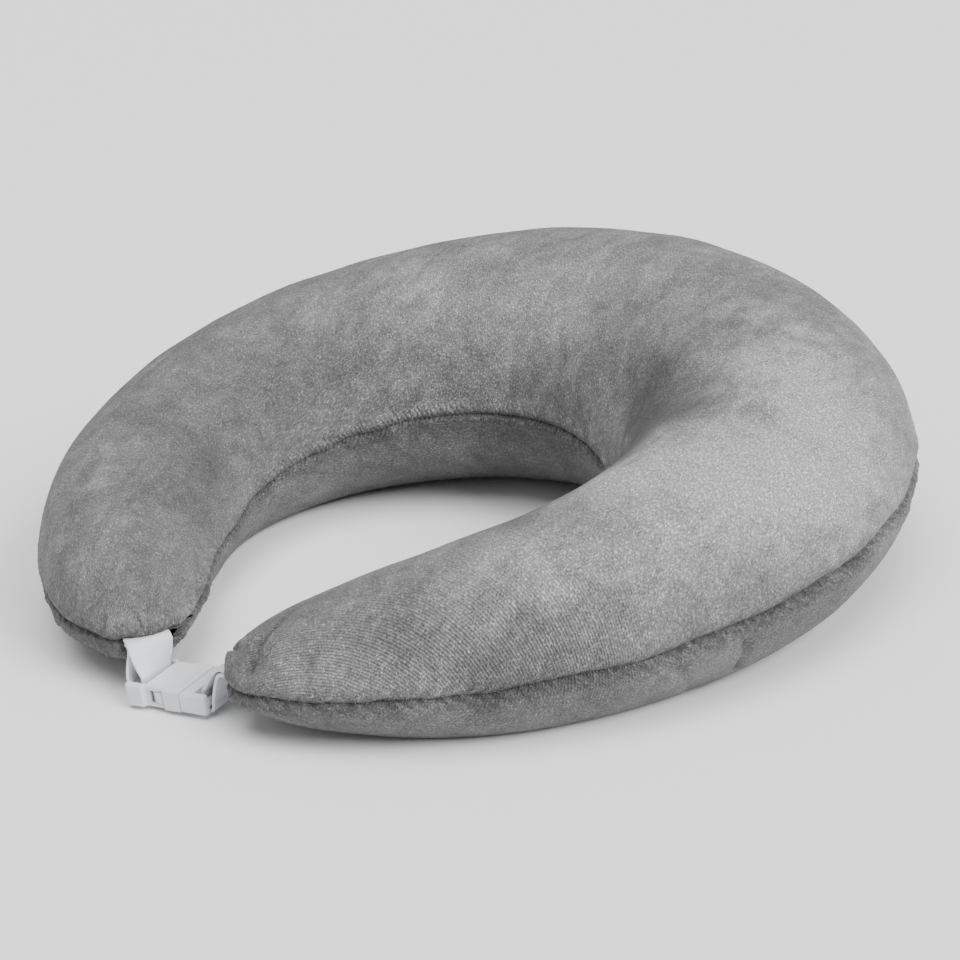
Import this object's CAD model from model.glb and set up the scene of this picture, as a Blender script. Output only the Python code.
"""Visual model of a U-shaped neck pillow: plush cover over foam, zip, straps and buckle.

Metres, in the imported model's frame: +Z up, the neck opening towards -Y, resting on z = 0.
"""

import math

import bpy
import numpy as np
from mathutils import Matrix, Vector, kdtree, noise


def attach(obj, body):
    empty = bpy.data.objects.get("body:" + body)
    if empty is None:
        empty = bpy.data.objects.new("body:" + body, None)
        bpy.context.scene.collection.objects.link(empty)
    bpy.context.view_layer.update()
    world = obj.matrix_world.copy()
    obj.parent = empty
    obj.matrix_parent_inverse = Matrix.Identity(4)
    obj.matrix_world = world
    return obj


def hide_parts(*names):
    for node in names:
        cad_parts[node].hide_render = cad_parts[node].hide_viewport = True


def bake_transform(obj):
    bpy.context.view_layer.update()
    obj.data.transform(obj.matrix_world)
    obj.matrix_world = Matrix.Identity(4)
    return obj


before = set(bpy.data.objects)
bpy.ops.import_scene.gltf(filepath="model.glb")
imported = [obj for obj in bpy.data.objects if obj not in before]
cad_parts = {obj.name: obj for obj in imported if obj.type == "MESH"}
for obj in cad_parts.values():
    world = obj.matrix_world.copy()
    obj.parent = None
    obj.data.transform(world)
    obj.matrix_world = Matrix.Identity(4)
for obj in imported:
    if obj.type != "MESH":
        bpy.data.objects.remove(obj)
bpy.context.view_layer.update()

# ---- Pillow form: an elliptical centreline with an oval section at each angle round it ----
# Angle 0 is the middle of the back, on +Y. Turn 0 is the outer seam, a quarter turn the crest.
CENTRE_HALF_WIDTH = 0.1155
CENTRE_HALF_DEPTH = 0.1005
CENTRE_Y = -0.0118
ARM_RADIUS = 0.110
LEFT_TIP_ANGLE = math.radians(165.6)
RIGHT_TIP_ANGLE = math.radians(173.5)
BACK_HALF_WIDTH = 0.0550
ARM_HALF_WIDTH = 0.0340
MEAN_HALF_HEIGHT = 0.0425
HALF_HEIGHT_SWING = 0.0115
LOWER_TO_UPPER = 0.79
LEFT_TIP_WIDTH_REACH = 0.065
RIGHT_TIP_WIDTH_REACH = 0.033
TIP_WIDTH_POWER = 2.4
LEFT_TIP_HEIGHT_REACH = 0.107
RIGHT_TIP_HEIGHT_REACH = 0.085
TIP_HEIGHT_POWER = 2.0
# The slants are spread further than the CAD's, the left one is gentler, so rows don't bunch.
LEFT_TIP_SLANT = 0.80
RIGHT_TIP_SLANT = 0.38
TIP_SLANT_REACH = 0.100
SEAM_HEIGHT = 0.0305
SEAM_SLOPE = 0.121
FLOOR_ROUNDING = 0.0004
FOAM_INSET = 0.0062
FOAM_TIP_INSET = 0.0180
FOAM_ROWS_PER_ARM = 90
FOAM_COLUMNS = 60

# ---- Fine mesh of the cover ----
ROWS_PER_ARM = 480
COLUMNS = 90
TIP_CROWDING = 1.6
SEAM_CROWDING = 0.72
FLANGE_DEPTHS = (0.0006, 0.0018, 0.0036)

# ---- Fabric relief: a layer of noise is its weight, its scale and its seed ----
RIPPLES = ((0.0009, 17.0, 1), (0.00045, 48.0, 2))
RELIEF_FADE = 0.0060
GROOVE_DEPTH = 0.0012
GROOVE_WIDTH = 0.0010
UPPER_RIDGE_HEIGHT = 0.00045
LOWER_RIDGE_HEIGHT = 0.00081
RIDGE_DISTANCE = 0.0038
RIDGE_WIDTH = 0.0022
PUCKERS = ((0.9, 1.0 / 0.0085, 11),)
SEAM_HALF_GAP = 0.00006
SEAM_WANDER = 0.0011
WANDER = ((1.0, 62.0, 31), (0.5, 140.0, 32))
WANDER_REACH = 0.0090
WANDER_FADE_ANGLE = math.radians(12.0)
WANDER_FADE_GAP = 0.0120
TUFT_HEIGHT = 0.00030
TUFTS = ((1.0, 520.0, 12), (0.7, 900.0, 13))
TUFT_BASE = 0.25
UPPER_SEAM_TUFTS = 0.75
LOWER_SEAM_TUFTS = 1.60
TUFT_REACH = 0.0090
UPPER_WRINKLE_HEIGHT = 0.0010
LOWER_WRINKLE_HEIGHT = 0.0007
WRINKLES_PER_RADIAN = 9.0
WRINKLE_BEND = 2.7
WRINKLE_BEND_SCALE = 45.0
WRINKLE_SEEDS = (3, 4)
WRINKLE_REACH = 0.030
WRINKLE_CLEARANCE = 0.008
ZIP_LIFT = 0.0021
ZIP_END_ANGLE = math.radians(28.0)
ZIP_LIFT_FADE = math.radians(2.5)
STRAP_LIFT = 0.0017
STRAP_LIFT_HALF_WIDTH = 0.0080
STRAP_LIFT_FADE = 0.0050
MAX_RIM_SINE = 0.6
FLANGE_FADE_WIDTH = 0.012

# ---- Straps and buckle ----
WEBBING_WIDTH = 0.0150
WEBBING_THICKNESS = 0.0012
WEBBING_STEP = 0.0004
RIB_COUNT = 13
RIB_COLUMNS = 6
RIB_DEPTH = 0.00011
WEAVE_PITCH = 0.0011
WEAVE_SHARE = 0.05
PLY_SPACING = 0.0017
ANCHOR_DEPTH = 0.0060
UPPER_PLY_EXIT = 0.0012
LOWER_PLY_EXIT = 0.0004
LEFT_STRAP_ROOT = Vector((-0.0266, -0.1298, 0.0172))
LEFT_STRAP_EXIT = Vector((0.86, -0.51, 0.0)).normalized()
RIGHT_STRAP_ROOT = Vector((0.0106, -0.1278, 0.0170))
RIGHT_STRAP_EXIT = Vector((-1.0, -0.05, 0.0)).normalized()
BUCKLE_POSITION = Vector((-0.0293, -0.1328, 0.0048))
BUCKLE_YAW = math.radians(10.0)
LEFT_LOOP = (
    (0.0060, 0.0052), (0.0056, 0.0018), (0.0053, -0.0010), (0.0045, -0.0025), (0.0028, -0.0028),
    (0.0011, -0.0025), (0.0003, -0.0010), (0.0002, 0.0008), (0.0000, 0.0030),
)
RIGHT_LOOP = (
    (0.0308, 0.0048), (0.0297, 0.0028), (0.0293, 0.0010), (0.0293, -0.0010), (0.0301, -0.0025),
    (0.0313, -0.0028), (0.0326, -0.0024), (0.0333, -0.0008), (0.0337, 0.0014),
)


# ---------------------------------------------------------------- camera

CAMERA_AZIMUTH = math.radians(41.93)
CAMERA_ELEVATION = math.radians(20.59)
CAMERA_ROLL = math.radians(-7.61)
CAMERA_DISTANCE = 0.6773
CAMERA_TARGET = Vector((0.0, 0.0002, 0.0303))
CAMERA_LENS = 70.81
CAMERA_SHIFT = (0.01955, -0.00377)


def make_camera():
    a, e = CAMERA_AZIMUTH, CAMERA_ELEVATION
    back = Vector((math.sin(a) * math.cos(e), -math.cos(a) * math.cos(e), math.sin(e)))
    right = Vector((math.cos(a), math.sin(a), 0.0))
    up = back.cross(right)
    c, s = math.cos(CAMERA_ROLL), math.sin(CAMERA_ROLL)
    axes = Matrix((right * c + up * s, up * c - right * s, back)).transposed().to_4x4()
    data = bpy.data.cameras.new("camera")
    data.lens = CAMERA_LENS
    data.shift_x, data.shift_y = CAMERA_SHIFT
    data.clip_start, data.clip_end = 0.01, 20.0
    camera = bpy.data.objects.new("camera", data)
    bpy.context.scene.collection.objects.link(camera)
    camera.matrix_world = Matrix.Translation(CAMERA_TARGET + back * CAMERA_DISTANCE) @ axes
    bpy.context.scene.camera = camera


# ---------------------------------------------------------------- pillow form

def ease(x):
    return x * x * (3.0 - 2.0 * x)


def bell(distance, width):
    """One at no distance, falling smoothly to almost nothing at twice the width."""
    return np.exp(-((distance / width) ** 2))


def round_off(distance, reach, power):
    near = np.clip(distance / reach, 0.0, 1.0)
    return (1.0 - (1.0 - near) ** power) ** (1.0 / power)


def tip_distance(angle):
    tip = np.where(angle > 0, RIGHT_TIP_ANGLE, LEFT_TIP_ANGLE)
    return (tip - np.abs(angle)) * ARM_RADIUS


def section_size(angle, inset=0.0, tip_inset=0.0):
    """Half width and upper half height of the pillow's section at each angle."""
    distance = tip_distance(angle) - tip_inset
    width = ARM_HALF_WIDTH + (BACK_HALF_WIDTH - ARM_HALF_WIDTH) * ease((1 + np.cos(angle)) / 2)
    height = MEAN_HALF_HEIGHT + HALF_HEIGHT_SWING * np.cos(angle)
    width_reach = np.where(angle > 0, RIGHT_TIP_WIDTH_REACH, LEFT_TIP_WIDTH_REACH)
    height_reach = np.where(angle > 0, RIGHT_TIP_HEIGHT_REACH, LEFT_TIP_HEIGHT_REACH)
    return (
        (width - inset) * round_off(distance, width_reach, TIP_WIDTH_POWER),
        (height - inset) * round_off(distance, height_reach, TIP_HEIGHT_POWER),
    )


def centre_xy(angle):
    return np.stack((
        CENTRE_HALF_WIDTH * np.sin(angle),
        CENTRE_HALF_DEPTH * np.cos(angle) + CENTRE_Y,
    ), -1)


def outward_xy(angle):
    out = np.stack((CENTRE_HALF_DEPTH * np.sin(angle), CENTRE_HALF_WIDTH * np.cos(angle)), -1)
    return out / np.linalg.norm(out, axis=-1, keepdims=True)


def form_points(angle, turn, inset=0.0, tip_inset=0.0):
    """Points of the smooth form for arrays of angles and turns of one shape."""
    width, height = section_size(angle, inset, tip_inset)
    rise = np.sin(turn) * height * np.where(turn <= math.pi, 1.0, LOWER_TO_UPPER)
    aside = np.cos(turn) * width
    centre, out = centre_xy(angle), outward_xy(angle)
    forward = np.stack((out[..., 1], -out[..., 0]), -1) * np.sign(angle + 1e-9)[..., None]
    slant = np.where(angle > 0, RIGHT_TIP_SLANT, LEFT_TIP_SLANT)
    slant = slant * ease(np.clip(1.0 - tip_distance(angle) / TIP_SLANT_REACH, 0.0, 1.0))
    xy = centre + out * aside[..., None] + forward * (aside * slant)[..., None]
    z = SEAM_HEIGHT + SEAM_SLOPE * centre[..., 1] + rise - inset
    z = 0.5 * (z + np.sqrt(z * z + 4.0 * FLOOR_ROUNDING ** 2)) + inset
    return np.concatenate((xy, z[..., None]), -1)


def row_angles(rows_per_arm, tip_inset=0.0):
    """Angles from the left tip to the right tip, closer together near the tips."""
    share = np.linspace(0.0, 1.0, rows_per_arm + 1)[1:]
    eased = 1.0 - (1.0 - share) ** TIP_CROWDING
    shift = tip_inset / ARM_RADIUS
    left = -(LEFT_TIP_ANGLE - shift) * eased[::-1]
    return np.concatenate((left, [0.0], (RIGHT_TIP_ANGLE - shift) * eased))


def grid_normals(points, outside):
    """Unit normals of a grid of points, on the side that the outside vectors point to."""
    along = np.gradient(points, axis=0)
    across = np.gradient(points, axis=1)
    normals = np.cross(along, across)
    normals /= np.maximum(np.linalg.norm(normals, axis=-1, keepdims=True), 1e-12)
    normals[0], normals[-1] = normals[1], normals[-2]
    side = np.sign(np.sum(normals * outside, -1, keepdims=True))
    return normals * np.where(side == 0, 1.0, side)


def field(points, scale, seed):
    """Smooth noise from -1 to 1 at each point, its features about 1 / scale metres across."""
    shift = Vector((seed * 7.31, seed * 3.17, seed * 5.77))
    flat = points.reshape(-1, 3) * scale
    values = [noise.noise(Vector(point) + shift) for point in flat]
    return np.array(values).reshape(points.shape[:-1])


def layered(points, layers):
    """Layers of smooth noise, added up."""
    return sum(weight * field(points, scale, seed) for weight, scale, seed in layers)


# ---------------------------------------------------------------- cloth simulation

PUFF_ROWS_PER_ARM = 60
PUFF_COLUMNS = 40
PUFF_INSET = 0.0020
PUFF_VOXEL = 0.0050
PUFF_FRAMES = 20
PUFF_CLOTH = {
    "quality": 6,
    "mass": 0.15,
    "tension_stiffness": 30.0,
    "compression_stiffness": 10.0,
    "shear_stiffness": 10.0,
    "bending_stiffness": 0.4,
    "use_pressure": True,
    "uniform_pressure_force": 4.0,
    "shrink_min": -0.035,       # the cover is cut a little larger than the foam
}
PUFF_NEIGHBOURS = 6
PUFF_NEAREST = 0.001
PUFF_CAP = 0.0040
PUFF_SHARE = 0.45


def closed_form_mesh(name, rows_per_arm, columns, inset, tip_inset):
    """The whole form as one closed mesh."""
    angles = row_angles(rows_per_arm, tip_inset)[:, None]
    turns = np.linspace(0.0, 2 * math.pi, columns + 1)[None, :-1]
    angles, turns = np.broadcast_arrays(angles, turns)
    points = form_points(angles, turns, inset, tip_inset)
    return ring_mesh(name, points, wrap=True)


def per_vertex(values):
    """A grid's values in the order of ring_mesh's vertices."""
    inner = values[1:-1].reshape((-1,) + values.shape[2:])
    return np.concatenate((values[0].mean(0)[None], inner, values[-1].mean(0)[None]))


def ring_mesh(name, points, wrap):
    """A mesh from a grid whose first and last rows are each a single point."""
    rows, columns = points.shape[:2]
    verts = per_vertex(points)
    last = len(verts) - 1
    spans = columns if wrap else columns - 1
    faces = []
    for k in range(spans):
        following = (k + 1) % columns
        faces.append((0, 1 + following, 1 + k))
        start = 1 + (rows - 3) * columns
        faces.append((last, start + k, start + following))
    for row in range(rows - 3):
        start = 1 + row * columns
        for k in range(spans):
            following = (k + 1) % columns
            beyond = start + columns
            faces.append((start + k, start + following, beyond + following, beyond + k))
    mesh = bpy.data.meshes.new(name)
    mesh.from_pydata([tuple(v) for v in verts], [], faces)
    mesh.update()
    mesh.shade_smooth()
    obj = bpy.data.objects.new(name, mesh)
    bpy.context.scene.collection.objects.link(obj)
    return obj


def simulate_cover():
    """Blow up a loose cloth cover from the form. Returns its rest points and how far each moved."""
    obj = closed_form_mesh("puff", PUFF_ROWS_PER_ARM, PUFF_COLUMNS, PUFF_INSET, PUFF_INSET)
    remesh = obj.modifiers.new("voxels", "REMESH")
    remesh.mode = "VOXEL"
    remesh.voxel_size = PUFF_VOXEL
    bpy.context.view_layer.update()
    graph = bpy.context.evaluated_depsgraph_get()
    mesh = bpy.data.meshes.new_from_object(obj.evaluated_get(graph))
    obj.modifiers.clear()
    obj.data = mesh
    rest = vertex_points(mesh)

    cloth = obj.modifiers.new("cover", "CLOTH")
    for setting, value in PUFF_CLOTH.items():
        setattr(cloth.settings, setting, value)
    cloth.settings.effector_weights.gravity = 0.0
    cloth.collision_settings.use_collision = False
    cloth.point_cache.frame_start, cloth.point_cache.frame_end = 1, PUFF_FRAMES
    for step in range(1, PUFF_FRAMES + 1):
        bpy.context.scene.frame_set(step)
    graph = bpy.context.evaluated_depsgraph_get()
    moved = vertex_points(obj.evaluated_get(graph).to_mesh())
    bpy.context.scene.frame_set(1)
    bpy.data.objects.remove(obj)
    return rest, moved - rest


def vertex_points(mesh):
    points = np.zeros(len(mesh.vertices) * 3, np.float32)
    mesh.vertices.foreach_get("co", points)
    return points.reshape(-1, 3).astype(float)


def puff_at(points, normals, rest, shift):
    """The simulated cover's height at each point, about its median, within the cap."""
    tree = kdtree.KDTree(len(rest))
    for index, point in enumerate(rest):
        tree.insert(point, index)
    tree.balance()
    heights = np.zeros(len(points))
    for k, (point, normal) in enumerate(zip(points, normals)):
        found = tree.find_n(point, PUFF_NEIGHBOURS)
        weights = np.array([1.0 / (distance + PUFF_NEAREST) for _, _, distance in found])
        moves = shift[[index for _, index, _ in found]]
        heights[k] = weights @ (moves @ normal) / weights.sum()
    return np.clip((heights - np.median(heights)) * PUFF_SHARE, -PUFF_CAP, PUFF_CAP)


# ---------------------------------------------------------------- cover panels

# Creases and dimples in the plush: two ends of a line on the surface, its half width, its depth.
CREASES = (
    ((0.0297, -0.1266, 0.0336), (0.0300, -0.1398, 0.0250), 0.0022, 0.0024),
    ((0.0494, -0.1345, 0.0290), (0.0494, -0.1355, 0.0265), 0.0042, 0.0020),
    ((0.1485, -0.0511, 0.0188), (0.1414, -0.0469, 0.0060), 0.0017, 0.0022),
    ((0.1380, -0.0710, 0.0172), (0.1300, -0.0550, 0.0000), 0.0017, 0.0022),
    ((0.0600, 0.0180, 0.0640), (0.1000, 0.0040, 0.0750), 0.0120, 0.0028),
    ((-0.0492, -0.1274, 0.0312), (-0.0498, -0.1365, 0.0246), 0.0018, 0.0016),
    ((-0.0419, -0.1340, 0.0240), (-0.0419, -0.1367, 0.0190), 0.0015, 0.0022),
    ((-0.0416, -0.0790, 0.0267), (-0.0557, -0.0722, 0.0371), 0.0035, 0.0012),
    ((-0.0272, -0.1052, 0.0196), (-0.0300, -0.1060, 0.0225), 0.0014, 0.0012),
    ((0.0640, -0.1320, 0.0270), (0.0600, -0.1345, 0.0215), 0.0020, 0.0013),
)

# Brushed patches: two ends of a line on the surface, its half width, and how much lighter the
# nap looks there (darker where negative).
BRUSHED = (
    ((0.0677, 0.0134, 0.0634), (0.0960, -0.0346, 0.0620), 0.0100, -0.95),
    ((0.0742, 0.0190, 0.0722), (0.0977, -0.0064, 0.0696), 0.0100, -0.75),
    ((0.0830, -0.0027, 0.0631), (0.1165, -0.0058, 0.0726), 0.0080, -0.55),
    ((0.0989, 0.0104, 0.0759), (0.1238, 0.0098, 0.0745), 0.0055, -0.35),
    ((0.0758, 0.0084, 0.0654), (0.1019, 0.0128, 0.0771), 0.0014, 0.45),
    ((0.0808, 0.0661, 0.0885), (0.0966, 0.0789, 0.0824), 0.0120, -0.40),
    ((0.0982, 0.0368, 0.0829), (0.0866, 0.0239, 0.0789), 0.0070, -0.30),
    ((0.0886, 0.0564, 0.0866), (0.1140, 0.0483, 0.0807), 0.0045, 0.45),
    ((0.1290, 0.0211, 0.0739), (0.1537, 0.0057, 0.0526), 0.0240, 0.95),
    ((0.1414, -0.0259, 0.0594), (0.1101, -0.0424, 0.0643), 0.0190, 1.00),
    ((0.1592, -0.0070, 0.0287), (0.1600, 0.0080, 0.0400), 0.0040, -0.55),
    ((-0.0490, 0.0455, 0.0829), (0.0128, 0.0520, 0.0819), 0.0240, 0.50),
    ((0.0200, 0.0500, 0.0800), (0.0480, 0.0700, 0.0900), 0.0200, 0.15),
    ((-0.1034, -0.0573, 0.0611), (-0.0916, -0.0563, 0.0583), 0.0080, -0.40),
    ((-0.0887, -0.1005, 0.0463), (-0.0763, -0.1210, 0.0342), 0.0055, -0.40),
    ((-0.0700, -0.1287, 0.0275), (-0.0498, -0.1365, 0.0246), 0.0060, -0.35),
    ((-0.0865, -0.0922, 0.0503), (-0.0934, -0.0796, 0.0549), 0.0045, 0.45),
    ((-0.0844, -0.1144, 0.0375), (-0.0830, -0.1180, 0.0350), 0.0035, 0.35),
    ((-0.0416, -0.0790, 0.0267), (-0.0752, -0.0462, 0.0456), 0.0060, -0.35),
    ((-0.0851, -0.0104, 0.0611), (-0.0608, 0.0165, 0.0609), 0.0080, -0.25),
    ((0.0761, -0.1094, 0.0437), (0.0674, -0.1081, 0.0447), 0.0120, -0.20),
    ((0.0950, -0.0950, 0.0480), (0.1250, -0.0700, 0.0500), 0.0160, 0.30),
    ((0.1095, -0.1025, 0.0315), (0.1022, -0.1093, 0.0202), 0.0100, -0.35),
    ((0.0314, -0.1365, 0.0287), (0.0300, -0.1266, 0.0336), 0.0040, -0.35),
    ((0.0220, -0.1317, 0.0286), (0.0200, -0.1280, 0.0290), 0.0035, 0.40),
    ((0.0400, -0.1340, 0.0300), (0.0560, -0.1330, 0.0290), 0.0110, 0.30),
    ((0.1546, -0.0305, 0.0180), (0.1590, 0.0000, 0.0200), 0.0160, -0.30),
    ((0.1155, -0.0991, 0.0152), (0.0700, -0.1250, 0.0120), 0.0110, 0.20),
)
# How far the patches stray, and the layers of noise that move them along x, y and z.
BRUSH_WARP = 0.0050
BRUSH_WARP_LAYERS = [((1.0, 55.0, seed), (0.6, 150.0, seed + 3)) for seed in (21, 22, 23)]

# Where the knit rows show through the pile: two ends of a line, its half width, how strongly.
KNIT_ZONES = (
    ((0.0420, -0.1330, 0.0280), (0.1180, -0.0930, 0.0300), 0.0210, 1.00),
    ((-0.0350, -0.1250, 0.0300), (-0.0450, -0.1150, 0.0340), 0.0140, 0.45),
    ((0.1100, 0.0100, 0.0750), (0.0800, 0.0500, 0.0850), 0.0200, 0.15),
)
NAP_LAYERS = ((0.20, 24.0, 27), (0.20, 60.0, 28))
NAP_SLOPE = 1.6
# The bottom panel is darker, most of all on its outer side.
BAND_SHADE = 0.50
UNDERSIDE_SHADE = 0.32
OUTER_SHARPNESS = 2.0


def near_line(points, start, end, half_width):
    """One on a line between two points, falling smoothly to nothing away from it."""
    start, end = np.array(start), np.array(end)
    line = end - start
    share = np.clip((points - start) @ line / max(line @ line, 1e-12), 0.0, 1.0)
    gap = np.linalg.norm(points - start - share[..., None] * line, axis=-1)
    return bell(gap, half_width)


def marked(points, marks):
    """The sum of the marks at each point. A mark is a line's two ends, half width and strength."""
    return sum(strength * near_line(points, *line) for *line, strength in marks)


def nap_tone(points, turns, upper):
    """How light or dark the brushed nap looks at each point, about zero."""
    warp = np.stack([layered(points, layers) for layers in BRUSH_WARP_LAYERS], -1)
    warped = points + BRUSH_WARP * warp
    tone = layered(warped, NAP_LAYERS) + NAP_SLOPE * points[..., 0] + marked(warped, BRUSHED)
    if not upper:
        outer = np.clip(0.5 + OUTER_SHARPNESS * np.cos(turns), 0.0, 1.0)
        tone -= UNDERSIDE_SHADE + (BAND_SHADE - UNDERSIDE_SHADE) * outer
    return tone


def tip_wrinkles(points, upper):
    """Short folds that radiate from where each strap is sewn into its tip."""
    height = UPPER_WRINKLE_HEIGHT if upper else LOWER_WRINKLE_HEIGHT
    total = np.zeros(points.shape[:-1])
    for seed, root in zip(WRINKLE_SEEDS, (LEFT_STRAP_ROOT, RIGHT_STRAP_ROOT)):
        offset = points - np.array(root)
        reach = np.linalg.norm(offset, axis=-1)
        bearing = np.arctan2(offset[..., 1], offset[..., 0])
        bend = WRINKLE_BEND * field(points, WRINKLE_BEND_SCALE, seed)
        fade = bell(reach, WRINKLE_REACH) * np.clip(reach / WRINKLE_CLEARANCE, 0.0, 1.0)
        total += height * np.cos(WRINKLES_PER_RADIAN * bearing + bend) * fade
    return total


def strap_gaps(xy):
    """How far each point is, in plan, from where each strap comes out."""
    return [
        np.linalg.norm(xy - np.array(root.xy), axis=-1)
        for root in (LEFT_STRAP_ROOT, RIGHT_STRAP_ROOT)
    ]


def rim_lift(angle, xy, outer):
    """How far a panel's edge stands back from the seam: more at the zip and round the straps."""
    lift = np.full(angle.shape, SEAM_HALF_GAP)
    if outer:
        into = (ZIP_END_ANGLE + ZIP_LIFT_FADE - np.abs(angle)) / ZIP_LIFT_FADE
        lift = np.maximum(lift, ZIP_LIFT * ease(np.clip(into, 0.0, 1.0)))
    for gap in strap_gaps(xy):
        into = 1.0 - (gap - STRAP_LIFT_HALF_WIDTH) / STRAP_LIFT_FADE
        lift = np.maximum(lift, STRAP_LIFT * ease(np.clip(into, 0.0, 1.0)))
    return lift


def panel_grid(upper):
    """Angles and turns of one panel's vertices, its edges set back from the seam by rim_lift."""
    angles = row_angles(ROWS_PER_ARM)
    share = np.linspace(0.0, 1.0, COLUMNS + 1)
    share = share - SEAM_CROWDING * np.sin(2 * math.pi * share) / (2 * math.pi)
    height = section_size(angles)[1] * (1.0 if upper else LOWER_TO_UPPER)
    edges = []
    for outer, turn in ((True, 0.0), (False, math.pi)):
        xy = form_points(angles, np.full(angles.shape, turn))[:, :2]
        lift = rim_lift(angles, xy, outer)
        edges.append(np.arcsin(np.clip(lift / np.maximum(height, 1e-6), 0.0, MAX_RIM_SINE)))
    start, stop = edges[0][:, None], math.pi - edges[1][:, None]
    turns = start + (stop - start) * share[None, :]
    if not upper:
        turns = 2 * math.pi - turns
    return np.broadcast_to(angles[:, None], turns.shape), turns


def seam_relief(points, to_edge, upper):
    """The sewn groove along both seams, the puckered ridge beside it, and tufts of pile."""
    groove = -GROOVE_DEPTH * bell(to_edge, GROOVE_WIDTH)
    ridge = UPPER_RIDGE_HEIGHT if upper else LOWER_RIDGE_HEIGHT
    ridge = ridge * (1.0 + layered(points, PUCKERS)) * bell(to_edge - RIDGE_DISTANCE, RIDGE_WIDTH)
    seam_tufts = UPPER_SEAM_TUFTS if upper else LOWER_SEAM_TUFTS
    tufts = TUFT_HEIGHT * (TUFT_BASE + seam_tufts * bell(to_edge, TUFT_REACH))
    return groove + ridge + tufts * layered(points, TUFTS)


def seam_wander(angles, points, to_edge):
    """How far the seam line strays up and down where the cloth is gathered into it."""
    stray = layered(points * np.array((1.0, 1.0, 0.0)), WANDER)
    stray *= np.clip((np.abs(angles) - ZIP_END_ANGLE) / WANDER_FADE_ANGLE, 0.0, 1.0)
    for gap in strap_gaps(points[..., :2]):
        stray *= ease(np.clip((gap - STRAP_LIFT_HALF_WIDTH) / WANDER_FADE_GAP, 0.0, 1.0))
    return SEAM_WANDER * stray * bell(to_edge, WANDER_REACH)


def build_panel(name, upper, simulated, material):
    angles, turns = panel_grid(upper)
    points = form_points(angles, turns)
    centres = np.concatenate((centre_xy(angles), np.full(angles.shape + (1,), 0.0)), -1)
    centres[..., 2] = SEAM_HEIGHT + SEAM_SLOPE * centres[..., 1]
    normals = grid_normals(points, points - centres)

    steps = np.linalg.norm(np.diff(points, axis=1), axis=-1)
    length = np.concatenate((np.zeros((len(points), 1)), np.cumsum(steps, axis=1)), axis=1)
    to_edge = np.minimum(length, length[:, -1:] - length)
    relief = layered(points, RIPPLES)
    if simulated is not None:
        puffed = puff_at(points.reshape(-1, 3), normals.reshape(-1, 3), *simulated)
        relief = relief + puffed.reshape(relief.shape)
    relief = relief + tip_wrinkles(points, upper) - marked(points, CREASES)
    relief *= ease(np.clip(to_edge / RELIEF_FADE, 0.0, 1.0))
    relief += seam_relief(points, to_edge, upper)
    relief *= np.clip(points[..., 2] / RELIEF_FADE, 0.0, 1.0)
    skin = points + normals * relief[..., None]
    skin[..., 2] += seam_wander(angles, points, to_edge)

    out = np.concatenate((outward_xy(angles[:, 0]), np.zeros((len(points), 1))), -1)
    room = np.clip(section_size(angles[:, 0])[0] / FLANGE_FADE_WIDTH, 0.0, 1.0)[:, None]
    outer, inner = [
        [(skin[:, edge] - out * side * depth * room)[:, None] for depth in FLANGE_DEPTHS]
        for edge, side in ((0, 1), (-1, -1))
    ]
    whole = np.concatenate([*outer[::-1], skin, *inner], axis=1)
    obj = ring_mesh(name, whole if upper else whole[:, ::-1], wrap=False)

    crest = length - length[:, -1:] / 2
    fabric = centre_xy(angles) - outward_xy(angles) * crest[..., None]
    set_fabric_uv(obj.data, per_vertex(with_flanges(fabric, upper)))
    for label, values in (
        ("to_edge", to_edge),
        ("nap", nap_tone(points, turns, upper)),
        ("knit", marked(points, KNIT_ZONES)),
        ("along", np.broadcast_to(angles * ARM_RADIUS, to_edge.shape)),
    ):
        attribute = obj.data.attributes.new(label, "FLOAT", "POINT")
        values = per_vertex(with_flanges(values, upper)).astype(np.float32)
        attribute.data.foreach_set("value", values)
    obj.data.materials.append(material)
    return obj


def with_flanges(values, upper):
    """A panel's values, carried on over the flanges, in the order of its mesh's columns."""
    pad = len(FLANGE_DEPTHS)
    whole = np.concatenate([values[:, :1]] * pad + [values] + [values[:, -1:]] * pad, axis=1)
    return whole if upper else whole[:, ::-1]


def set_fabric_uv(mesh, flat):
    """Where each vertex lies in the flat cloth, in metres, as a UV map."""
    loops = np.zeros(len(mesh.loops), np.int32)
    mesh.loops.foreach_get("vertex_index", loops)
    layer = mesh.uv_layers.new(name="Fabric")
    layer.data.foreach_set("uv", flat[loops].astype(np.float32).ravel())


# ---------------------------------------------------------------- webbing

def buckle_frame():
    return Matrix.Translation(BUCKLE_POSITION) @ Matrix.Rotation(BUCKLE_YAW, 4, "Z")


def strap_stations(root, leave, place, loop):
    """Points and width directions of a looped strap, from its upper ply round to its lower one."""
    root_side = Vector((-leave.y, leave.x, 0.0))
    across = place.to_3x3() @ Vector((0.0, 1.0, 0.0))
    if root_side.dot(across) < 0:
        root_side = -root_side
    lift = Vector((0.0, 0.0, PLY_SPACING / 2))
    inside = root - leave * ANCHOR_DEPTH
    out = [(inside + lift, root_side), (root + leave * UPPER_PLY_EXIT + lift, root_side)]
    back = [(root + leave * LOWER_PLY_EXIT - lift, root_side), (inside - lift, root_side)]
    return out + [(place @ Vector((x, 0.0, z)), across) for x, z in loop] + back


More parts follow.
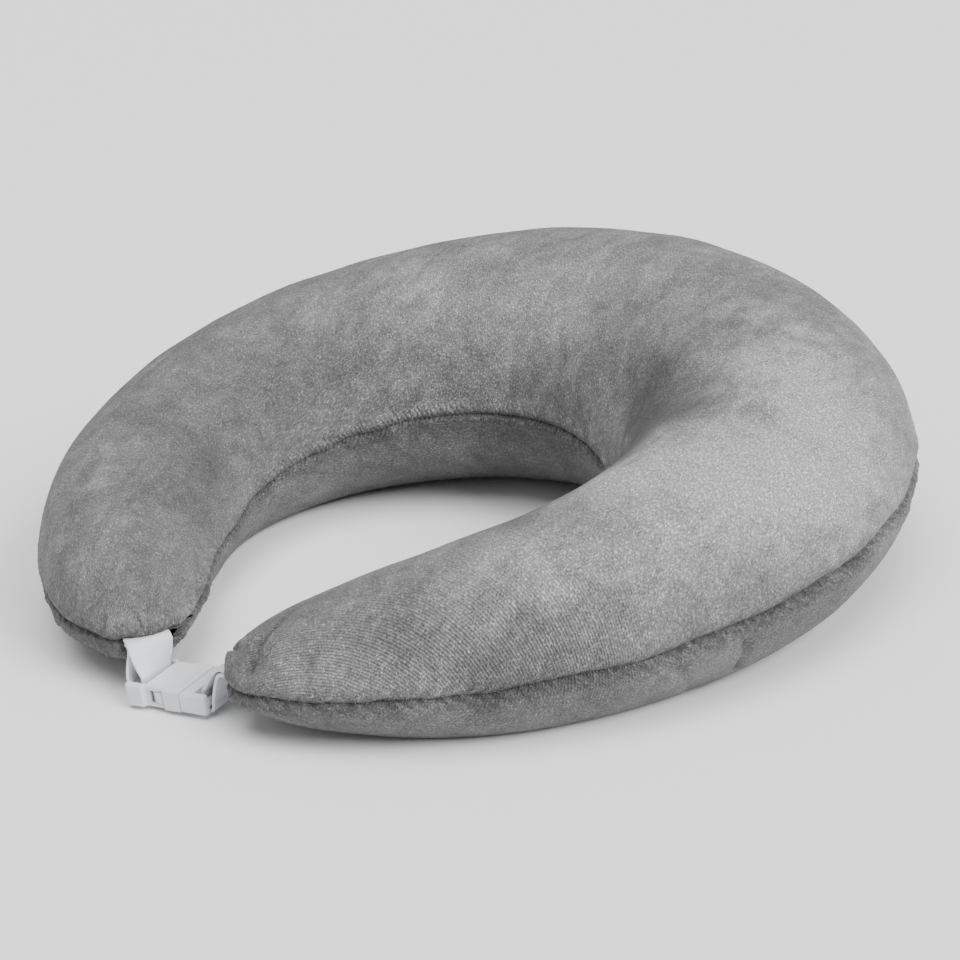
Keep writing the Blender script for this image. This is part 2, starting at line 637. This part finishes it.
def smooth_route(stations):
    """Points and width directions along a Catmull-Rom curve through the stations."""
    points = [point for point, _ in stations]
    sides = [side.normalized() for _, side in stations]
    points = [2 * points[0] - points[1]] + points + [2 * points[-1] - points[-2]]
    sides = [sides[0]] + sides + [sides[-1]]
    route = []
    for k in range(1, len(points) - 2):
        count = max(2, round((points[k + 1] - points[k]).length / WEBBING_STEP))
        for j in range(count):
            u = j / count
            weights = (
                (-u + 2 * u ** 2 - u ** 3) / 2,
                (2 - 5 * u ** 2 + 3 * u ** 3) / 2,
                (u + 4 * u ** 2 - 3 * u ** 3) / 2,
                (-u ** 2 + u ** 3) / 2,
            )
            point = sum((points[k - 1 + m] * weights[m] for m in range(4)), Vector())
            route.append((point, sides[k].lerp(sides[k + 1], u).normalized()))
    route.append((points[-2], sides[-1]))
    return route


def webbing_profile():
    """Half of the strap's outline: offsets across and through it, ribbed along its length."""
    count = RIB_COUNT * RIB_COLUMNS
    profile = []
    for k in range(count + 1):
        across = -1.0 + 2.0 * k / count
        rib = abs(math.sin(math.pi * k / RIB_COLUMNS))
        edge = min(1.0, (1.0 - abs(across)) * WEBBING_WIDTH / 2 / (WEBBING_THICKNESS / 2))
        rounded = math.sqrt(max(0.0, 1.0 - (1.0 - edge) ** 2))
        through = (WEBBING_THICKNESS / 2 - RIB_DEPTH * (1.0 - rib)) * rounded
        profile.append((across * WEBBING_WIDTH / 2, through))
    return profile


def build_strap(name, root, leave, loop, material):
    route = smooth_route(strap_stations(root, leave, buckle_frame(), loop))
    half = webbing_profile()
    outline = half[::-1] + [(across, -through) for across, through in half[1:-1]]
    rows, lengths, run = [], [], 0.0
    for k, (point, side) in enumerate(route):
        before, after = route[max(k - 1, 0)][0], route[min(k + 1, len(route) - 1)][0]
        normal = (after - before).cross(side).normalized()
        run += (point - route[max(k - 1, 0)][0]).length
        weave = 1.0 + WEAVE_SHARE * math.sin(2 * math.pi * run / WEAVE_PITCH)
        rows.append([
            point + side * across + normal * through * weave for across, through in outline
        ])
        lengths.append(run)
    rows = [[route[0][0]] * len(outline)] + rows + [[route[-1][0]] * len(outline)]
    lengths = [lengths[0]] + lengths + [lengths[-1]]
    obj = ring_mesh(name, np.array([[tuple(v) for v in row] for row in rows]), wrap=True)
    flat = np.array([[(across, run) for across, _ in outline] for run in lengths])
    set_fabric_uv(obj.data, per_vertex(flat))
    obj.data.materials.append(material)
    return obj


# ---------------------------------------------------------------- materials

def new_material(name, roughness, **sockets):
    material = bpy.data.materials.new(name)
    material.use_nodes = True
    tree = material.node_tree
    shader = tree.nodes["Principled BSDF"]
    shader.inputs["Roughness"].default_value = roughness
    for socket, value in sockets.items():
        shader.inputs[socket.replace("_", " ")].default_value = value
    return material, tree, shader


def add_node(tree, kind, inputs=(), **settings):
    """Add a node, set its properties, and fill its inputs with values or links."""
    node = tree.nodes.new(kind)
    for key, value in settings.items():
        setattr(node, key, value)
    for key, value in dict(inputs).items():
        if isinstance(value, bpy.types.NodeSocket):
            tree.links.new(value, node.inputs[key])
        else:
            node.inputs[key].default_value = value
    return node


def object_position(tree):
    return add_node(tree, "ShaderNodeTexCoord").outputs["Object"]


def fabric_position(tree):
    return add_node(tree, "ShaderNodeUVMap", uv_map="Fabric").outputs["UV"]


def mesh_value(tree, name):
    return add_node(tree, "ShaderNodeAttribute", attribute_name=name).outputs["Fac"]


def noise_value(tree, vector, scale, detail=2.0, rough=0.5, distortion=0.0):
    return add_node(tree, "ShaderNodeTexNoise", {
        "Vector": vector,
        "Scale": scale,
        "Detail": detail,
        "Roughness": rough,
        "Distortion": distortion,
    }).outputs["Fac"]


def wave_value(tree, vector, scale, distortion=0.0, detail_scale=1.0, **settings):
    return add_node(tree, "ShaderNodeTexWave", {
        "Vector": vector,
        "Scale": scale,
        "Distortion": distortion,
        "Detail": 2.0,
        "Detail Scale": detail_scale,
    }, **settings).outputs["Fac"]


def calculate(tree, operation, first, second, clamp=False):
    made = add_node(
        tree, "ShaderNodeMath", {0: first, 1: second}, operation=operation, use_clamp=clamp,
    )
    return made.outputs[0]


def add_up(tree, total, *terms):
    """A total plus each term, a value times its weight."""
    for value, weight in terms:
        total = calculate(tree, "ADD", total, calculate(tree, "MULTIPLY", value, weight))
    return total


def ramp(tree, factor, stops):
    made = add_node(tree, "ShaderNodeValToRGB", {"Fac": factor})
    elements = made.color_ramp.elements
    while len(elements) < len(stops):
        elements.new(0.5)
    for element, (position, tone) in zip(elements, stops):
        element.position = position
        element.color = (*tone, 1.0) if isinstance(tone, tuple) else (tone, tone, tone, 1.0)
    return made.outputs["Color"]


def mapped(tree, vector, **settings):
    inputs = {key.capitalize(): value for key, value in settings.items()}
    return add_node(tree, "ShaderNodeMapping", {"Vector": vector, **inputs}).outputs["Vector"]


def add_bump(tree, shader, height, distance, strength):
    bump = add_node(tree, "ShaderNodeBump", {
        "Height": height, "Distance": distance, "Strength": strength,
    })
    tree.links.new(bump.outputs["Normal"], shader.inputs["Normal"])


# Plush: where the knit's curved rows are centred in the flat cloth, how wide the curled pile
# beside a seam is, the weights that make up the tone, and the tones themselves.
KNIT_CENTRE = (0.078, -0.195)
KNIT_SCALE = 345.0
KNIT_SHADE = 0.26
SEAM_PILE_WIDTH = 0.0065
SEAM_PILE_SHADE = 0.40
TONE_START = -0.08
NAP_WEIGHT = 0.36
MOTTLE_WEIGHT = 0.66
SMUDGE_WEIGHT = 0.56
MARK_WEIGHT = -0.20
PLUSH_TONES = ((0.10, 0.058), (0.34, 0.105), (0.50, 0.152), (0.66, 0.225), (0.90, 0.360))
FIBRE_TONES = ((0.34, 0.46), (0.46, 0.88), (0.54, 1.10), (0.63, 2.40))


def plush_tone(tree, place, fabric):
    """The colour of the brushed nap, with feathered marks where it was stroked the other way."""
    mottle = noise_value(tree, place, 95.0, detail=5.0, rough=0.66, distortion=0.9)
    streaks = mapped(tree, fabric, scale=(190.0, 60.0, 1.0), rotation=(0.0, 0.0, 0.5))
    smudges = noise_value(tree, streaks, 1.0, detail=5.0, rough=0.65, distortion=1.2)
    zone = ramp(tree, noise_value(tree, place, 22.0), ((0.50, 0.0), (0.62, 1.0)))
    marks = calculate(tree, "MULTIPLY", zone, ramp(tree, smudges, ((0.47, 0.0), (0.60, 1.0))))
    tone = add_up(
        tree, TONE_START,
        (mesh_value(tree, "nap"), NAP_WEIGHT),
        (mottle, MOTTLE_WEIGHT),
        (smudges, SMUDGE_WEIGHT),
        (marks, MARK_WEIGHT),
    )
    return ramp(tree, tone, PLUSH_TONES)


def plush_material():
    """Short-pile velour: brushed patches of light and dark nap, knit rows, and standing fibres."""
    material, tree, shader = new_material("plush", 0.62, Sheen_Weight=0.12, Sheen_Roughness=0.4)
    shader.inputs["Specular IOR Level"].default_value = 0.35
    place, fabric = object_position(tree), fabric_position(tree)
    edge, knit = mesh_value(tree, "to_edge"), mesh_value(tree, "knit")

    # Single fibres catch the light or lie in shade.
    lying = mapped(tree, fabric, scale=(2300.0, 1000.0, 1.0), rotation=(0.0, 0.0, 0.3))
    fibres = noise_value(tree, lying, 1.0, rough=0.6, distortion=0.5)
    tufts = noise_value(tree, place, 1500.0, rough=0.6, distortion=0.6)
    grain = add_up(tree, 0.0, (fibres, 0.6), (tufts, 0.4))

    # Where the knit shows the fibres stand in rows, and beside a seam they curl across it.
    centred = mapped(tree, fabric, location=(-KNIT_CENTRE[0], -KNIT_CENTRE[1], 0.0))
    rows = wave_value(
        tree, centred, KNIT_SCALE, distortion=2.0, detail_scale=2.0,
        wave_type="RINGS", rings_direction="Z",
    )
    beside = add_node(tree, "ShaderNodeCombineXYZ", {"X": mesh_value(tree, "along"), "Y": edge})
    curls = wave_value(
        tree, beside.outputs["Vector"], 170.0, distortion=5.0, detail_scale=1.6,
        bands_direction="DIAGONAL",
    )
    from_seam = calculate(tree, "DIVIDE", edge, SEAM_PILE_WIDTH, clamp=True)
    by_seam = calculate(tree, "SUBTRACT", 1.0, from_seam, clamp=True)
    shown_rows = calculate(tree, "MULTIPLY", knit, rows)
    shown_curls = calculate(tree, "MULTIPLY", by_seam, curls)

    shade = calculate(
        tree, "MULTIPLY",
        add_up(tree, 1.0, (shown_rows, -KNIT_SHADE)),
        add_up(tree, 1.0, (shown_curls, -SEAM_PILE_SHADE)),
    )
    factor = calculate(tree, "MULTIPLY", ramp(tree, grain, FIBRE_TONES), shade)
    mixed = add_node(tree, "ShaderNodeMix", {
        0: 1.0, 6: plush_tone(tree, place, fabric), 7: factor,
    }, data_type="RGBA", blend_type="MULTIPLY")
    tree.links.new(mixed.outputs[2], shader.inputs["Base Color"])

    standing = calculate(tree, "ADD", by_seam, 0.6)
    height = add_up(tree, fibres, (shown_rows, -0.45), (shown_curls, -0.8), (tufts, standing))
    add_bump(tree, shader, height, distance=0.0011, strength=0.85)
    return material


def foam_material():
    material, tree, shader = new_material("foam", 0.95)
    place = object_position(tree)
    pores = add_node(tree, "ShaderNodeTexVoronoi", {"Vector": place, "Scale": 700.0})
    tint = noise_value(tree, place, 25.0, detail=3.0)
    colour = ramp(tree, tint, ((0.3, (0.78, 0.72, 0.52)), (0.7, (0.86, 0.81, 0.64))))
    tree.links.new(colour, shader.inputs["Base Color"])
    add_bump(tree, shader, pores.outputs["Distance"], distance=0.0005, strength=0.8)
    return material


def webbing_material():
    material, tree, shader = new_material("webbing", 0.7, Sheen_Weight=0.2, Sheen_Roughness=0.4)
    fabric = fabric_position(tree)
    yarns = wave_value(
        tree, fabric, 520.0, distortion=1.0, detail_scale=4.0, bands_direction="Y",
    )
    stretched = mapped(tree, fabric, scale=(2600.0, 500.0, 1.0))
    threads = noise_value(tree, stretched, 1.0, detail=3.0, rough=0.6)
    colour = ramp(tree, threads, ((0.3, (0.64, 0.66, 0.71)), (0.7, (0.80, 0.82, 0.87))))
    tree.links.new(colour, shader.inputs["Base Color"])
    height = add_up(tree, threads, (yarns, 0.5))
    add_bump(tree, shader, height, distance=0.00018, strength=0.6)
    return material


def plastic_material():
    material, tree, shader = new_material(
        "acetal", 0.38,
        Subsurface_Weight=0.12, Subsurface_Scale=0.002, Subsurface_Radius=(1.0, 1.0, 1.0),
    )
    place = object_position(tree)
    cloudy = noise_value(tree, place, 160.0, detail=3.0)
    colour = ramp(tree, cloudy, ((0.3, (0.66, 0.675, 0.71)), (0.7, (0.72, 0.735, 0.77))))
    tree.links.new(colour, shader.inputs["Base Color"])
    gloss = ramp(tree, noise_value(tree, place, 900.0), ((0.3, 0.32), (0.7, 0.46)))
    tree.links.new(gloss, shader.inputs["Roughness"])
    grain = noise_value(tree, place, 2200.0)
    add_bump(tree, shader, grain, distance=0.00004, strength=0.5)
    return material


def metal_material():
    material, tree, shader = new_material("zinc", 0.32, Metallic=1.0)
    place = object_position(tree)
    wear = noise_value(tree, place, 700.0, detail=4.0, rough=0.6)
    colour = ramp(tree, wear, ((0.3, (0.28, 0.28, 0.29)), (0.7, (0.46, 0.46, 0.47))))
    tree.links.new(colour, shader.inputs["Base Color"])
    tree.links.new(ramp(tree, wear, ((0.3, 0.25), (0.7, 0.45))), shader.inputs["Roughness"])
    grain = noise_value(tree, place, 1500.0)
    add_bump(tree, shader, grain, distance=0.00005, strength=0.4)
    return material


def tape_material():
    material, tree, shader = new_material("tape", 0.85, Sheen_Weight=0.2)
    twill = wave_value(tree, fabric_position(tree), 420.0, bands_direction="DIAGONAL")
    tree.links.new(ramp(tree, twill, ((0.2, 0.09), (0.8, 0.16))), shader.inputs["Base Color"])
    add_bump(tree, shader, twill, distance=0.0002, strength=0.7)
    return material


def coil_material():
    material, tree, shader = new_material("coil", 0.4)
    tint = noise_value(tree, object_position(tree), 500.0)
    tree.links.new(ramp(tree, tint, ((0.3, 0.08), (0.7, 0.13))), shader.inputs["Base Color"])
    return material


# ---------------------------------------------------------------- zip

COIL_PITCH = 0.0013
COIL_WIRE_RADIUS = 0.00022
COIL_HALF_WIDTH = 0.00062
COIL_HALF_HEIGHT = 0.00034
COIL_POINTS_PER_TURN = 12
COIL_SLICES = 60
COIL_SLICE_REACH = 0.0012
TAPE_RIB_PITCH = 0.0012
TAPE_RIB_HEIGHT = 0.00006
TAPE_CUTS = 3


def tube_mesh(name, points, radius, sides=6):
    """A closed tube along a list of points."""
    circle = [2 * math.pi * j / sides for j in range(sides)]
    rows, reference = [], None
    for k, point in enumerate(points):
        heading = (points[min(k + 1, len(points) - 1)] - points[max(k - 1, 0)]).normalized()
        first = heading.orthogonal().normalized()
        if reference is not None and first.dot(reference) < 0.99:
            first = (reference - heading * reference.dot(heading)).normalized()
        reference = first
        second = heading.cross(first)
        rows.append([
            point + (first * math.cos(turn) + second * math.sin(turn)) * radius for turn in circle
        ])
    rows = [[points[0]] * sides] + rows + [[points[-1]] * sides]
    return ring_mesh(name, np.array([[tuple(v) for v in row] for row in rows]), wrap=True)


def coil_middles(node):
    """Points along the middle of a zip coil's CAD solid, and the ends of the solid in x."""
    points = vertex_points(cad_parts[node].data)
    points = points[np.argsort(points[:, 0])]
    stations = np.unique(np.round(points[:, 0], 5))
    stations = stations[:: max(1, len(stations) // COIL_SLICES)]
    middles = [points[np.abs(points[:, 0] - x) < COIL_SLICE_REACH].mean(0) for x in stations]
    return np.array(middles), points[0, 0], points[-1, 0]


def build_coil(name, material):
    """A zip coil as a flattened spiral of wire, along its CAD solid."""
    middles, low, high = coil_middles(name)
    turns = round((high - low) / COIL_PITCH)
    xs = np.linspace(low + COIL_PITCH / 2, high - COIL_PITCH / 2, turns * COIL_POINTS_PER_TURN)
    ys = np.interp(xs, middles[:, 0], middles[:, 1])
    zs = np.interp(xs, middles[:, 0], middles[:, 2])
    route = []
    for k, (x, y, z) in enumerate(zip(xs, ys, zs)):
        phase = 2 * math.pi * k / COIL_POINTS_PER_TURN
        y += COIL_HALF_WIDTH * math.cos(phase)
        z += COIL_HALF_HEIGHT * math.sin(phase)
        route.append(Vector((x, y, z)))
    obj = tube_mesh(f"{name}_spiral", route, COIL_WIRE_RADIUS)
    obj.data.materials.append(material)
    return obj


def build_tape(name, material):
    """A zip tape as its CAD solid, cut finely and woven."""
    obj = bpy.data.objects.new(f"{name}_weave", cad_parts[name].data.copy())
    bpy.context.scene.collection.objects.link(obj)
    cuts = obj.modifiers.new("cuts", "SUBSURF")
    cuts.subdivision_type = "SIMPLE"
    cuts.levels = cuts.render_levels = TAPE_CUTS
    graph = bpy.context.evaluated_depsgraph_get()
    obj.data = bpy.data.meshes.new_from_object(obj.evaluated_get(graph))
    obj.modifiers.clear()
    points = vertex_points(obj.data)
    ribs = np.sin(points[:, (0, 2)] * 2 * math.pi / TAPE_RIB_PITCH).prod(axis=1)
    points[:, 1] += TAPE_RIB_HEIGHT * ribs
    obj.data.vertices.foreach_set("co", points.astype(np.float32).ravel())
    for layer in list(obj.data.uv_layers):
        obj.data.uv_layers.remove(layer)
    set_fabric_uv(obj.data, points[:, (0, 2)])
    obj.data.materials.clear()
    obj.data.materials.append(material)
    return obj


# ---------------------------------------------------------------- assembly

def build_cover():
    plush = plush_material()
    simulated = simulate_cover()
    for node, upper in (("cover_top_panel", True), ("cover_bottom_panel", False)):
        panel = build_panel(f"{node}_plush", upper, simulated, plush)
        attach(panel, "pillow")
        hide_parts(node)


def build_foam():
    foam = closed_form_mesh(
        "foam_core_block", FOAM_ROWS_PER_ARM, FOAM_COLUMNS, FOAM_INSET, FOAM_TIP_INSET,
    )
    foam.data.materials.append(foam_material())
    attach(foam, "pillow")
    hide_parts("foam_core")


def build_straps():
    webbing = webbing_material()
    left = build_strap(
        "left_strap_webbing", LEFT_STRAP_ROOT, LEFT_STRAP_EXIT, LEFT_LOOP, webbing,
    )
    right = build_strap(
        "right_strap_webbing", RIGHT_STRAP_ROOT, RIGHT_STRAP_EXIT, RIGHT_LOOP, webbing,
    )
    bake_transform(left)
    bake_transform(right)
    for strap, node in ((left, "left_strap_loop"), (right, "right_strap_loop")):
        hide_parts(node)


def build_zip():
    tape, coil, metal = tape_material(), coil_material(), metal_material()
    for side in ("upper", "lower"):
        for node, piece, slot in (
            (f"zip_tape_{side}", build_tape(f"zip_tape_{side}", tape), "zip_tape"),
            (f"zip_coil_{side}", build_coil(f"zip_coil_{side}", coil), "zip_coil"),
        ):
            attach(piece, "pillow")
            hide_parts(node)
    for node in ("zip_stop_closed_end", "zip_stop_open_end", "zip_slider", "zip_pull_tab"):
        use_material(node, metal)


def use_material(node, material):
    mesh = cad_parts[node].data
    mesh.materials.clear()
    mesh.materials.append(material)


def build_buckle():
    plastic = plastic_material()
    for node in ("buckle_socket", "buckle_plug", "buckle_prong_front", "buckle_prong_back"):
        use_material(node, plastic)


# ---------------------------------------------------------------- studio

FLOOR_REACH = 6.0
FLOOR_DROP = 0.0003
FLOOR_TONE = 0.93
SKY_STRENGTH = 0.42

# Each sun's name, the direction it shines from, its strength and its softness in degrees.
SUNS = (
    ("key", (1.0, 0.0, 0.70), 3.5, 30.0),
    ("top", (0.1, -0.15, 1.0), 2.5, 50.0),
)


def add_sun(name, towards, strength, softness):
    data = bpy.data.lights.new(name, "SUN")
    data.energy = strength
    data.angle = math.radians(softness)
    light = bpy.data.objects.new(name, data)
    bpy.context.scene.collection.objects.link(light)
    light.rotation_mode = "QUATERNION"
    light.rotation_quaternion = Vector(towards).to_track_quat("Z", "Y")


def build_studio():
    """A wide pale floor, just below the pillow, under an even sky and soft suns."""
    corners = [(-1, -1), (1, -1), (1, 1), (-1, 1)]
    corners = [(x * FLOOR_REACH, y * FLOOR_REACH, 0) for x, y in corners]
    mesh = bpy.data.meshes.new("floor")
    mesh.from_pydata(corners, [], [(0, 1, 2, 3)])
    floor = bpy.data.objects.new("floor", mesh)
    bpy.context.scene.collection.objects.link(floor)
    floor.location.z = -FLOOR_DROP
    material, _, shader = new_material("floor", 0.9)
    shader.inputs["Base Color"].default_value = (FLOOR_TONE, FLOOR_TONE, FLOOR_TONE, 1.0)
    shader.inputs["Specular IOR Level"].default_value = 0.1
    mesh.materials.append(material)

    world = bpy.data.worlds.new("studio")
    world.use_nodes = True
    background = world.node_tree.nodes["Background"]
    background.inputs["Color"].default_value = (1.0, 1.0, 1.0, 1.0)
    background.inputs["Strength"].default_value = SKY_STRENGTH
    bpy.context.scene.world = world
    for sun in SUNS:
        add_sun(*sun)


make_camera()
build_cover()
build_foam()
build_straps()
build_zip()
build_buckle()
build_studio()
